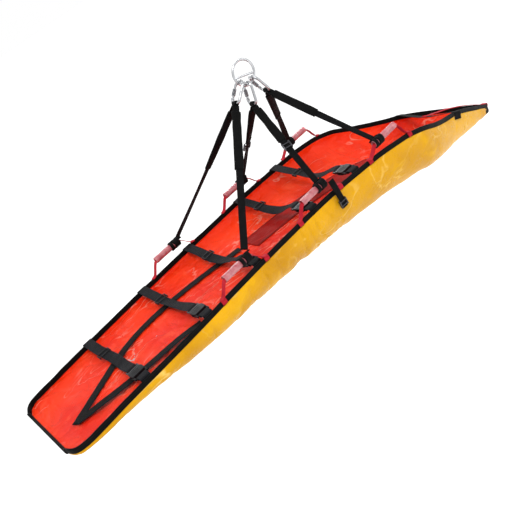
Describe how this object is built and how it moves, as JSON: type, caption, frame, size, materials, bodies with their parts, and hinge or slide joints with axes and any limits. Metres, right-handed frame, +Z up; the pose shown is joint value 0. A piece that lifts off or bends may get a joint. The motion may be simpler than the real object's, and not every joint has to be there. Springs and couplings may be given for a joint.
{
  "type": "roll-up rescue stretcher",
  "caption": "Tapered soft rescue stretcher with a coated-fabric trough, cross straps, padded grips and a webbing bridle that hangs from a lifting ring.",
  "frame": {"origin": "the seat at the inner top of the lifting ring, where a hoist hook carries it", "axes": "+Z up, +X along the bed towards the pointed head end, +Y towards the side the straps are sewn to"},
  "size_m": [2.323, 0.5546, 0.9154],
  "materials": {
    "shell_fabric": "satin coated fabric",
    "liner_fabric": "shiny coated fabric",
    "foam": "matte closed-cell foam",
    "batten_sheet": "matte",
    "edge_tape": "matte woven",
    "spine_fabric": "matte woven",
    "webbing_black": "matte woven",
    "webbing_grey": "matte woven",
    "webbing_red": "matte woven",
    "grip_tube": "glossy, slightly clear",
    "buckle_black": "moulded",
    "buckle_face": "glossy moulded",
    "ring_steel": "brushed",
    "carabiner_alloy": "satin",
    "sleeve_steel": "knurled",
    "lock_metal": "satin"
  },
  "bodies": {
    "ring": {"lifting_ring": "ring_steel"},
    "stretcher": {"buckle_anchors": "webbing_black", "buckle_sockets": "buckle_black", "carabiner_frame_1": "carabiner_alloy", "carabiner_frame_2": "carabiner_alloy", "carabiner_frame_3": "carabiner_alloy", "cross_strap_1": "webbing_grey", "cross_strap_2": "webbing_grey", "cross_strap_3": "webbing_grey", "cross_strap_4": "webbing_grey", "cross_strap_5": "webbing_grey", "floor_battens": "batten_sheet", "floor_mattress": "foam", "foot_binding": "edge_tape", "foot_strap": "webbing_black", "handle_grip_far_1": "grip_tube", "handle_grip_far_2": "grip_tube", "handle_grip_far_3": "grip_tube", "handle_grip_near_1": "grip_tube", "handle_grip_near_2": "grip_tube", "handle_grip_near_3": "grip_tube", "handle_webbing_far_1": "webbing_red", "handle_webbing_far_2": "webbing_red", "handle_webbing_far_3": "webbing_red", "handle_webbing_near_1": "webbing_red", "handle_webbing_near_2": "webbing_red", "handle_webbing_near_3": "webbing_red", "haul_loop": "webbing_red", "head_cap": "edge_tape", "head_strap": "webbing_black", "inner_liner": "liner_fabric", "loose_tail": "webbing_black", "outer_shell": "shell_fabric", "rim_binding_far": "edge_tape", "rim_binding_near": "edge_tape", "sling_1": "webbing_black", "sling_2": "webbing_black", "sling_3": "webbing_black", "sling_sleeves": "webbing_black", "spine_webbing": "spine_fabric"},
    "gate_1": {"carabiner_gate_1": "carabiner_alloy"},
    "sleeve_1": {"carabiner_sleeve_1": "sleeve_steel"},
    "gate_2": {"carabiner_gate_2": "carabiner_alloy"},
    "sleeve_2": {"carabiner_sleeve_2": "sleeve_steel"},
    "gate_3": {"carabiner_gate_3": "carabiner_alloy"},
    "sleeve_3": {"carabiner_sleeve_3": "sleeve_steel"},
    "plug_1": {"buckle_plug_1": "buckle_face"},
    "slider_1": {"strap_slider_1": "buckle_black"},
    "plug_2": {"buckle_plug_2": "buckle_face"},
    "slider_2": {"strap_slider_2": "buckle_black"},
    "plug_3": {"buckle_plug_3": "buckle_face"},
    "slider_3": {"strap_slider_3": "buckle_black"},
    "plug_4": {"buckle_plug_4": "buckle_face"},
    "slider_4": {"strap_slider_4": "buckle_black"},
    "plug_5": {"buckle_plug_5": "buckle_face"},
    "slider_5": {"strap_slider_5": "buckle_black"},
    "adjuster_near": {"sling_adjuster_near": "lock_metal"},
    "adjuster_far": {"sling_adjuster_far": "lock_metal"},
    "tail_lock": {"tail_lock": "lock_metal"}
  },
  "joints": [
    {"name": "bridle_swing", "type": "hinge", "parent": "ring", "child": "stretcher", "pos_m": [-0.0121, 0, -0.08334], "axis": [1, 0, 0], "range_deg": [-10, 10]},
    {"name": "gate_1_opens", "type": "hinge", "parent": "stretcher", "child": "gate_1", "pos_m": [-0.0771, 0.023, -0.09447], "axis": [0.6496, 0, -0.7603], "range_deg": [0, 22], "stiffness_Nm_per_rad": 0.3, "springref_deg": -20.05},
    {"name": "sleeve_1_twists", "type": "hinge", "parent": "gate_1", "child": "sleeve_1", "pos_m": [-0.0771, 0.023, -0.09447], "axis": [0.7603, 0, 0.6496], "range_deg": [0, 90], "stiffness_Nm_per_rad": 0.01, "springref_deg": -17.19},
    {"name": "gate_2_opens", "type": "hinge", "parent": "stretcher", "child": "gate_2", "pos_m": [-0.02478, 0.023, -0.13154], "axis": [0.9671, 0, -0.2544], "range_deg": [0, 22], "stiffness_Nm_per_rad": 0.3, "springref_deg": -20.05},
    {"name": "sleeve_2_twists", "type": "hinge", "parent": "gate_2", "child": "sleeve_2", "pos_m": [-0.02478, 0.023, -0.13154], "axis": [0.2544, 0, 0.9671], "range_deg": [0, 90], "stiffness_Nm_per_rad": 0.01, "springref_deg": -17.19},
    {"name": "gate_3_opens", "type": "hinge", "parent": "stretcher", "child": "gate_3", "pos_m": [0.04136, 0.023, -0.12517], "axis": [0.9223, 0, 0.3865], "range_deg": [0, 22], "stiffness_Nm_per_rad": 0.3, "springref_deg": -20.05},
    {"name": "sleeve_3_twists", "type": "hinge", "parent": "gate_3", "child": "sleeve_3", "pos_m": [0.04136, 0.023, -0.12517], "axis": [-0.3865, 0, 0.9223], "range_deg": [0, 90], "stiffness_Nm_per_rad": 0.01, "springref_deg": -17.19},
    {"name": "plug_1_pulls_out", "type": "slide", "parent": "stretcher", "child": "plug_1", "axis": [0, 1, 0], "range_m": [0, 0.035], "deforming": ["cross_strap_1"]},
    {"name": "slider_1_shifts", "type": "slide", "parent": "stretcher", "child": "slider_1", "axis": [0, 0.9969, 0.0782], "range_m": [-0.025, 0.025]},
    {"name": "plug_2_pulls_out", "type": "slide", "parent": "stretcher", "child": "plug_2", "axis": [0, 1, 0], "range_m": [0, 0.035], "deforming": ["cross_strap_2"]},
    {"name": "slider_2_shifts", "type": "slide", "parent": "stretcher", "child": "slider_2", "axis": [0, 0.992, 0.1262], "range_m": [-0.025, 0.025]},
    {"name": "plug_3_pulls_out", "type": "slide", "parent": "stretcher", "child": "plug_3", "axis": [0, 1, 0], "range_m": [0, 0.035], "deforming": ["cross_strap_3"]},
    {"name": "slider_3_shifts", "type": "slide", "parent": "stretcher", "child": "slider_3", "axis": [0, 0.9876, 0.1571], "range_m": [-0.025, 0.025]},
    {"name": "plug_4_pulls_out", "type": "slide", "parent": "stretcher", "child": "plug_4", "axis": [0, 1, 0], "range_m": [0, 0.035], "deforming": ["cross_strap_4"]},
    {"name": "slider_4_shifts", "type": "slide", "parent": "stretcher", "child": "slider_4", "axis": [0, 0.9879, 0.155], "range_m": [-0.025, 0.025]},
    {"name": "plug_5_pulls_out", "type": "slide", "parent": "stretcher", "child": "plug_5", "axis": [0, 1, 0], "range_m": [0, 0.035], "deforming": ["cross_strap_5"]},
    {"name": "slider_5_shifts", "type": "slide", "parent": "stretcher", "child": "slider_5", "axis": [0, 0.9889, 0.1486], "range_m": [-0.025, 0.025]},
    {"name": "adjuster_near_shifts", "type": "slide", "parent": "stretcher", "child": "adjuster_near", "axis": [0.1987, 0.6249, 0.755], "range_m": [-0.04, 0.01]},
    {"name": "adjuster_far_shifts", "type": "slide", "parent": "stretcher", "child": "adjuster_far", "axis": [0.1987, -0.6249, 0.755], "range_m": [-0.04, 0.01]},
    {"name": "tail_lock_shifts", "type": "slide", "parent": "stretcher", "child": "tail_lock", "axis": [0, 0.025, 0.9997], "range_m": [0, 0.03]}
  ]
}
